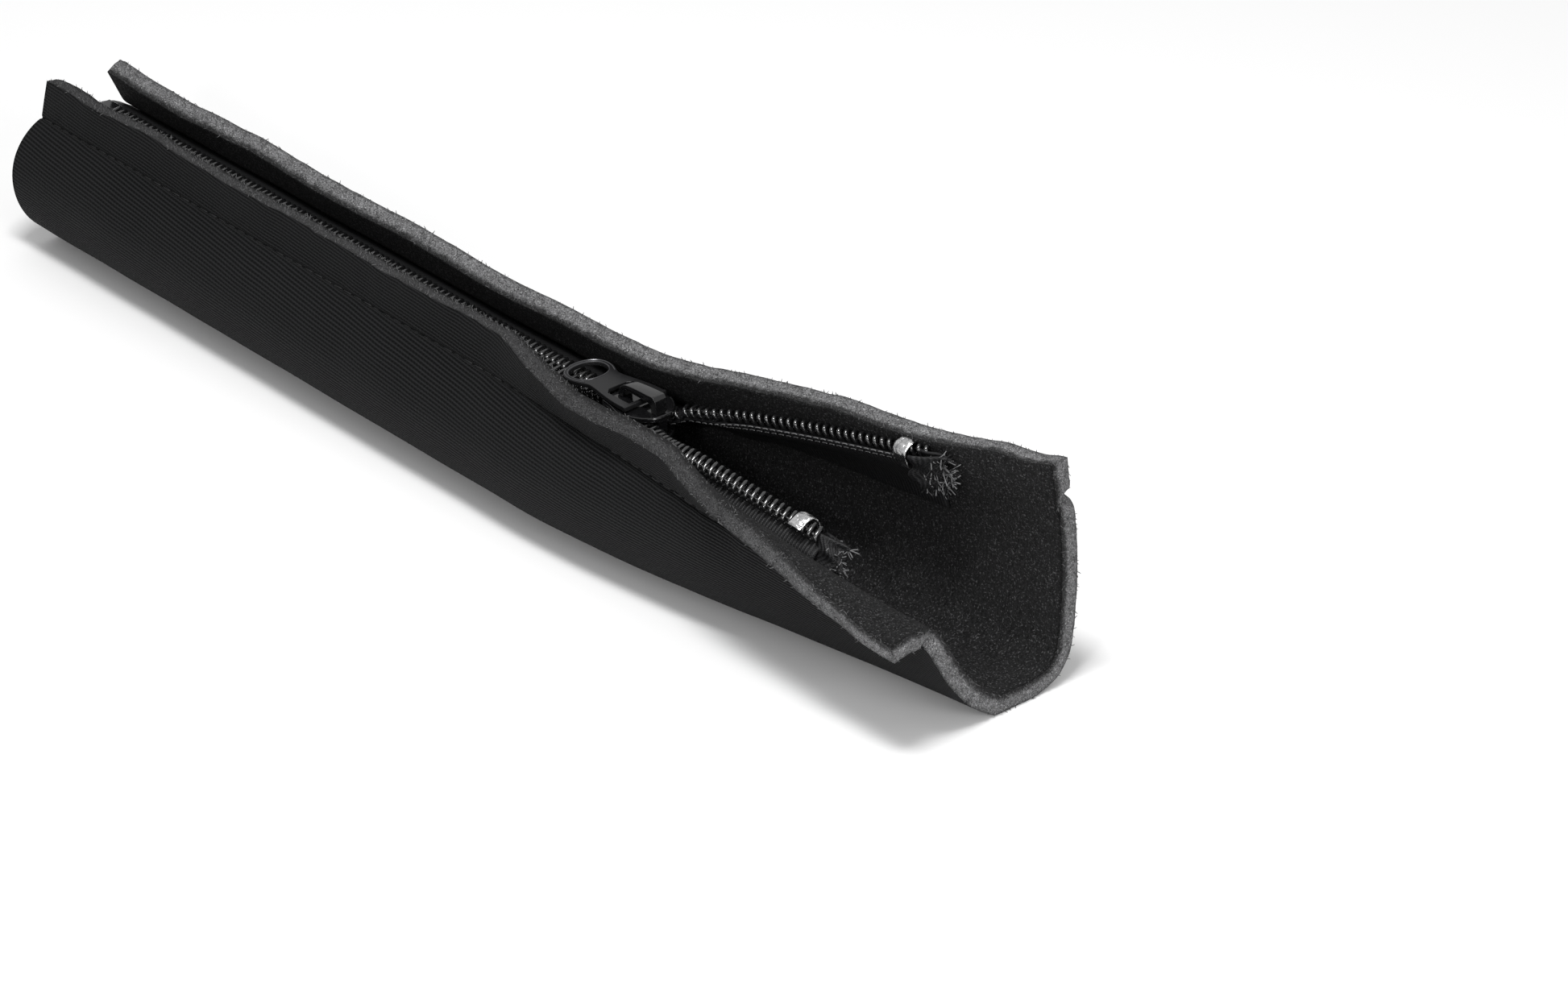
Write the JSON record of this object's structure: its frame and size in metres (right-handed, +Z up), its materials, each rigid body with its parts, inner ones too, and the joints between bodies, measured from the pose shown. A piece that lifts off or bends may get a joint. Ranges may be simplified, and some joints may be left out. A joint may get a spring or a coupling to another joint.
{
  "type": "cable sleeve",
  "caption": "Foam sleeve for a bundle of cables, rolled from one cut sheet and closed along its top by a coil zipper, part open at the mouth.",
  "frame": {"origin": "on the resting face, under the zip chain's centre line, at the middle of the sleeve's length", "axes": "+X along the sleeve towards its open mouth, +Z up, +Y to the side on which the mouth stands high"},
  "size_m": [0.24, 0.0436, 0.043],
  "materials": {
    "knit": "matt ribbed knit over foam",
    "tape": "woven polyester tape",
    "nylon": "gloss",
    "bright_metal": "polished",
    "enamel": "gloss black enamel",
    "spring_steel": "blued",
    "satin_metal": "satin black"
  },
  "bodies": {
    "sleeve": {"sleeve_panel": "knit", "zip_tape_near": "tape", "zip_tape_far": "tape", "coil_near": "nylon", "coil_far": "nylon", "top_stop_near": "bright_metal", "top_stop_far": "bright_metal", "bottom_stop": "enamel"},
    "slider": {"slider_body": "enamel", "slider_crown": "enamel", "lock_spring": "spring_steel"},
    "pull": {"pull_tab": "satin_metal"}
  },
  "joints": [
    {"name": "slider_slide", "type": "slide", "parent": "sleeve", "child": "slider", "axis": [1, 0, 0], "range_m": [-0.1455, 0], "deforming": ["coil_near", "coil_far"]},
    {"name": "pull_hinge", "type": "hinge", "parent": "slider", "child": "pull", "pos_m": [0.0401, 0, 0.02831], "axis": [0, 1, 0], "range_deg": [0, 165]}
  ]
}
